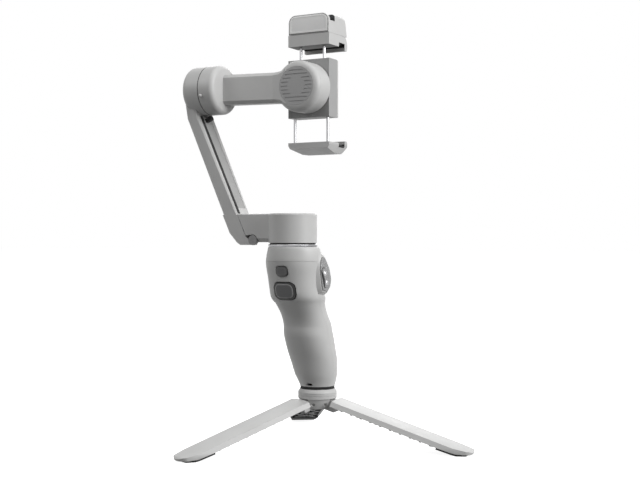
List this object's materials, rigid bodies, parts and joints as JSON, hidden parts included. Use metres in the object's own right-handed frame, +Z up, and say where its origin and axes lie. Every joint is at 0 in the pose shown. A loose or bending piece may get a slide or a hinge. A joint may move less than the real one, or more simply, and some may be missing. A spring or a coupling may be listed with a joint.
{
  "type": "smartphone gimbal",
  "caption": "Handheld stabiliser for a phone: curved grip on a folding mini tripod, jointed motor arm, spring clamp between sliding jaws, and a swivelling fill light above.",
  "frame": {"origin": "centre of the footprint on the ground, under the three tripod legs", "axes": "+X along the held phone away from the folding arm, +Y towards the user, +Z up along the pan axis"},
  "size_m": [0.2205, 0.2253, 0.3403],
  "materials": {
    "shell": "satin",
    "face": "satin",
    "dark": "satin",
    "rubber": "matt",
    "steel": "polished",
    "copper": "enamelled",
    "board": "lacquered",
    "cell": "wrapped",
    "red": "gloss",
    "lens": "frosted",
    "brass": "machined"
  },
  "bodies": {
    "base": {"grip_front": "shell", "grip_rear": "shell", "grip_collar": "shell", "base_plate": "dark", "socket_insert": "brass", "pan_ring": "steel", "inner_frame": "dark", "battery": "cell", "battery_frame": "dark", "main_board": "board", "pan_stator": "copper", "pan_bearing": "steel", "side_bezel": "shell", "side_panel": "dark", "control_panel": "dark", "charging_port": "steel", "indicator_lights": "lens", "tripod_hub": "shell", "hub_pad": "rubber", "tripod_screw": "steel", "leg_pins": "steel"},
    "leg_one": {"leg_1": "shell", "leg_liner_1": "rubber"},
    "leg_two": {"leg_2": "shell", "leg_liner_2": "rubber"},
    "leg_three": {"leg_3": "shell", "leg_liner_3": "rubber"},
    "trigger": {"trigger": "dark"},
    "mode_button": {"mode_button": "dark"},
    "zoom_rocker": {"zoom_rocker": "rubber"},
    "record_button": {"record_button": "red"},
    "power_button": {"power_button": "dark"},
    "joystick_cradle": {"joystick_cradle": "dark"},
    "joystick_cap": {"joystick_cap": "rubber"},
    "pan_unit": {"pan_housing": "shell", "pan_cover": "shell", "pan_magnets": "steel", "hinge_pin": "steel"},
    "folding_arm": {"arm_shell": "shell", "arm_cover": "shell", "cable_strip": "rubber", "hinge_barrels": "rubber", "tilt_stator": "copper"},
    "roll_arm": {"roll_arm": "shell", "roll_housing": "shell", "roll_disc": "face", "tilt_shaft": "steel", "roll_stator": "copper"},
    "clamp": {"clamp_block": "face", "clamp_cover": "shell", "clamp_pad": "rubber", "roll_shaft": "steel"},
    "pinion": {"pinion": "steel"},
    "upper_jaw": {"upper_jaw": "shell", "upper_rods": "steel", "upper_pad": "rubber"},
    "lower_jaw": {"lower_jaw": "shell", "lower_rods": "steel", "lower_pad": "rubber"},
    "light": {"light_head": "shell"}
  },
  "joints": [
    {"name": "pan", "type": "hinge", "parent": "base", "child": "pan_unit", "pos_m": [-0.01685, -0.03176, 0.1602], "axis": [0, 0, -1], "range_deg": [-160, 160]},
    {"name": "arm_fold", "type": "hinge", "parent": "pan_unit", "child": "folding_arm", "pos_m": [-0.04785, -0.03176, 0.1623], "axis": [0, 1, 0], "range_deg": [-115, 0]},
    {"name": "tilt", "type": "hinge", "parent": "folding_arm", "child": "roll_arm", "pos_m": [-0.09285, -0.03176, 0.2818], "axis": [1, 0, 0], "range_deg": [-110, 110]},
    {"name": "roll", "type": "hinge", "parent": "roll_arm", "child": "clamp", "pos_m": [-0.01685, -0.00776, 0.2818], "axis": [0, 1, 0], "range_deg": [-160, 160]},
    {"name": "upper_jaw_slide", "type": "slide", "parent": "clamp", "child": "upper_jaw", "axis": [0, 0, 1], "range_m": [-0.0104, 0.005]},
    {"name": "lower_jaw_slide", "type": "slide", "parent": "clamp", "child": "lower_jaw", "axis": [0, 0, 1], "range_m": [-0.005, 0.0104]},
    {"name": "pinion_turn", "type": "hinge", "parent": "clamp", "child": "pinion", "pos_m": [-0.01685, 0.00244, 0.2818], "axis": [0, 1, 0], "range_deg": [-61, 125]},
    {"name": "light_swivel", "type": "hinge", "parent": "upper_jaw", "child": "light", "pos_m": [-0.01685, 0.00724, 0.3251], "axis": [0, 0, 1], "range_deg": [0, 180]},
    {"name": "trigger_press", "type": "slide", "parent": "base", "child": "trigger", "axis": [0, 0.9636, 0.2672], "range_m": [0, 0.001], "stiffness_N_per_m": 400},
    {"name": "mode_press", "type": "slide", "parent": "base", "child": "mode_button", "axis": [0, 0.9636, 0.2672], "range_m": [0, 0.0008], "stiffness_N_per_m": 300},
    {"name": "record_press", "type": "slide", "parent": "base", "child": "record_button", "axis": [0, -0.9848, -0.1736], "range_m": [0, 0.0007], "stiffness_N_per_m": 300},
    {"name": "power_press", "type": "slide", "parent": "base", "child": "power_button", "axis": [0, -0.9848, -0.1736], "range_m": [0, 0.0006], "stiffness_N_per_m": 300},
    {"name": "zoom_rock", "type": "hinge", "parent": "base", "child": "zoom_rocker", "pos_m": [0.00605, -0.02387, 0.13339], "axis": [0, 0.9397, 0.342], "range_deg": [-4, 4], "stiffness_Nm_per_rad": 0.05},
    {"name": "joystick_x", "type": "hinge", "parent": "base", "child": "joystick_cradle", "pos_m": [-0.01685, -0.01313, 0.13581], "axis": [1, 0, 0], "range_deg": [-12, 12], "stiffness_Nm_per_rad": 0.02},
    {"name": "joystick_y", "type": "hinge", "parent": "joystick_cradle", "child": "joystick_cap", "pos_m": [-0.01685, -0.01313, 0.13581], "axis": [0, 0.1736, -0.9848], "range_deg": [-12, 12], "stiffness_Nm_per_rad": 0.02},
    {"name": "leg_one_fold", "type": "hinge", "parent": "base", "child": "leg_one", "pos_m": [-0.00651, 0.00773, 0.0322], "axis": [-0.1045, 0.9945, 0], "range_deg": [0, 73]},
    {"name": "leg_two_fold", "type": "hinge", "parent": "base", "child": "leg_two", "pos_m": [-0.02296, 0.01505, 0.0322], "axis": [-0.809, -0.5878, 0], "range_deg": [0, 73]},
    {"name": "leg_three_fold", "type": "hinge", "parent": "base", "child": "leg_three", "pos_m": [-0.02108, -0.00286, 0.0322], "axis": [0.9135, -0.4067, 0], "range_deg": [0, 73]}
  ],
  "couplings": [
    {"joint": "lower_jaw_slide", "follows": "upper_jaw_slide", "ratio": -1},
    {"joint": "pinion_turn", "follows": "upper_jaw_slide", "rad_per_m": -208.33}
  ]
}
